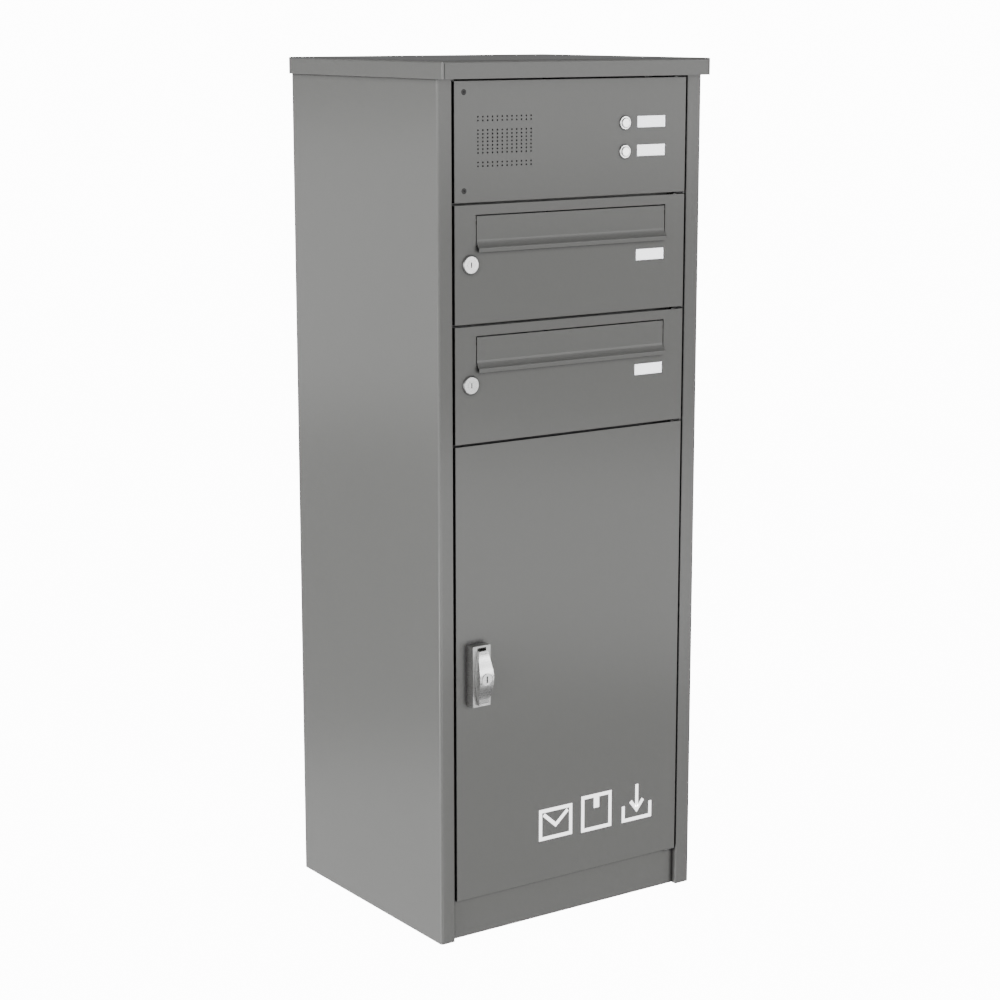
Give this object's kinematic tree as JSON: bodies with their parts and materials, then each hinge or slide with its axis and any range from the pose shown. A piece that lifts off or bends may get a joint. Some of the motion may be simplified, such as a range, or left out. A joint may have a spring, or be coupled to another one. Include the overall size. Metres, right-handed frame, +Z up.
{
  "type": "cluster mailbox unit",
  "caption": "Free-standing sheet-metal mailbox cabinet with an intercom panel, letterboxes with flaps, and a tall parcel door with a turn handle.",
  "frame": {"origin": "on the floor, at the centre of the anchor holes, which is the middle of the housing's footprint", "axes": "+X to the viewer's right when facing the doors, +Y towards the back, +Z up; the doors face -Y"},
  "size_m": [0.455, 0.4196, 1.2338],
  "materials": {
    "powder_coat": "fine-textured grey powder coat",
    "galvanised_steel": "galvanised sheet",
    "plain_steel": "satin",
    "stainless_steel": "brushed",
    "nickel_plate": "satin nickel",
    "zinc_plate": "satin zinc plate",
    "blackened_steel": "blackened",
    "nylon": "moulded",
    "black_plastic": "moulded",
    "rubber": "matte",
    "clear_plastic": "clear acrylic",
    "white_card": "plain card"
  },
  "bodies": {
    "cabinet": {"side_panel_left": "powder_coat", "side_panel_right": "powder_coat", "back_panel": "powder_coat", "back_panel_rivets": "plain_steel", "roof_cap": "powder_coat", "roof_fixings": "plain_steel", "ceiling_panel": "powder_coat", "intercom_shelf": "powder_coat", "letterbox_shelf": "powder_coat", "parcel_top_shelf": "powder_coat", "upper_letterbox_tray": "galvanised_steel", "lower_letterbox_tray": "galvanised_steel", "parcel_floor": "powder_coat", "base_plate": "powder_coat", "plinth_panel": "powder_coat", "hinge_brackets": "galvanised_steel", "hinge_pins": "plain_steel", "stop_brackets": "galvanised_steel", "stop_pads": "rubber", "cable_conduit": "black_plastic"},
    "intercom_front": {"intercom_panel": "powder_coat", "intercom_panel_bushes": "nylon", "intercom_panel_screws": "blackened_steel", "speaker_bracket": "powder_coat", "intercom_module": "black_plastic", "bell_bezels": "stainless_steel", "bell_switches": "black_plastic", "bell_name_windows": "clear_plastic", "bell_name_cards": "white_card", "bell_leads": "black_plastic"},
    "upper_bell": {"bell_button_upper": "stainless_steel"},
    "lower_bell": {"bell_button_lower": "stainless_steel"},
    "parcel_front": {"parcel_door": "powder_coat", "parcel_door_bushes": "nylon", "parcel_door_stiffener": "powder_coat", "handle_base": "zinc_plate", "handle_back_plate": "zinc_plate", "handle_screws": "plain_steel"},
    "parcel_handle": {"handle_lever": "stainless_steel", "handle_spindle": "zinc_plate", "latch_cam": "zinc_plate"},
    "parcel_key": {"handle_lock_core": "stainless_steel"},
    "upper_letterbox_front": {"upper_letterbox_door": "powder_coat", "upper_door_bushes": "nylon", "upper_flap_rod": "plain_steel", "upper_lock_housing": "nickel_plate", "upper_name_window": "clear_plastic", "upper_name_card": "white_card"},
    "upper_letter_flap": {"upper_flap": "powder_coat"},
    "upper_lock": {"upper_lock_core": "nickel_plate", "upper_lock_cam": "zinc_plate"},
    "lower_letterbox_front": {"lower_letterbox_door": "powder_coat", "lower_door_bushes": "nylon", "lower_flap_rod": "plain_steel", "lower_lock_housing": "nickel_plate", "lower_name_window": "clear_plastic", "lower_name_card": "white_card"},
    "lower_letter_flap": {"lower_flap": "powder_coat"},
    "lower_lock": {"lower_lock_core": "nickel_plate", "lower_lock_cam": "zinc_plate"}
  },
  "joints": [
    {"name": "intercom_swing", "type": "hinge", "parent": "cabinet", "child": "intercom_front", "pos_m": [0.184, -0.1845, 1.126], "axis": [0, 0, 1], "range_deg": [0, 110]},
    {"name": "upper_bell_press", "type": "slide", "parent": "intercom_front", "child": "upper_bell", "axis": [0, 1, 0], "range_m": [0, 0.0012], "stiffness_N_per_m": 700, "springref_m": -0.0005},
    {"name": "lower_bell_press", "type": "slide", "parent": "intercom_front", "child": "lower_bell", "axis": [0, 1, 0], "range_m": [0, 0.0012], "stiffness_N_per_m": 700, "springref_m": -0.0005},
    {"name": "upper_door_swing", "type": "hinge", "parent": "cabinet", "child": "upper_letterbox_front", "pos_m": [0.184, -0.1845, 0.9616], "axis": [0, 0, 1], "range_deg": [0, 110]},
    {"name": "upper_flap_tilt", "type": "hinge", "parent": "upper_letterbox_front", "child": "upper_letter_flap", "pos_m": [-0.00125, -0.1875, 1.0219], "axis": [-1, 0, 0], "range_deg": [0, 80]},
    {"name": "upper_lock_turn", "type": "hinge", "parent": "upper_letterbox_front", "child": "upper_lock", "pos_m": [-0.173, -0.1825, 0.9624], "axis": [0, 1, 0], "range_deg": [0, 90]},
    {"name": "lower_door_swing", "type": "hinge", "parent": "cabinet", "child": "lower_letterbox_front", "pos_m": [0.184, -0.1845, 0.7973], "axis": [0, 0, 1], "range_deg": [0, 110]},
    {"name": "lower_flap_tilt", "type": "hinge", "parent": "lower_letterbox_front", "child": "lower_letter_flap", "pos_m": [-0.00125, -0.1875, 0.8576], "axis": [-1, 0, 0], "range_deg": [0, 80]},
    {"name": "lower_lock_turn", "type": "hinge", "parent": "lower_letterbox_front", "child": "lower_lock", "pos_m": [-0.173, -0.1825, 0.7981], "axis": [0, 1, 0], "range_deg": [0, 90]},
    {"name": "parcel_door_swing", "type": "hinge", "parent": "cabinet", "child": "parcel_front", "pos_m": [0.184, -0.1845, 0.387], "axis": [0, 0, 1], "range_deg": [0, 110]},
    {"name": "parcel_handle_turn", "type": "hinge", "parent": "parcel_front", "child": "parcel_handle", "pos_m": [-0.167, -0.1925, 0.3885], "axis": [0, 1, 0], "range_deg": [0, 90]},
    {"name": "parcel_key_turn", "type": "hinge", "parent": "parcel_handle", "child": "parcel_key", "pos_m": [-0.167, -0.2125, 0.3885], "axis": [0, 1, 0], "range_deg": [0, 90]}
  ]
}
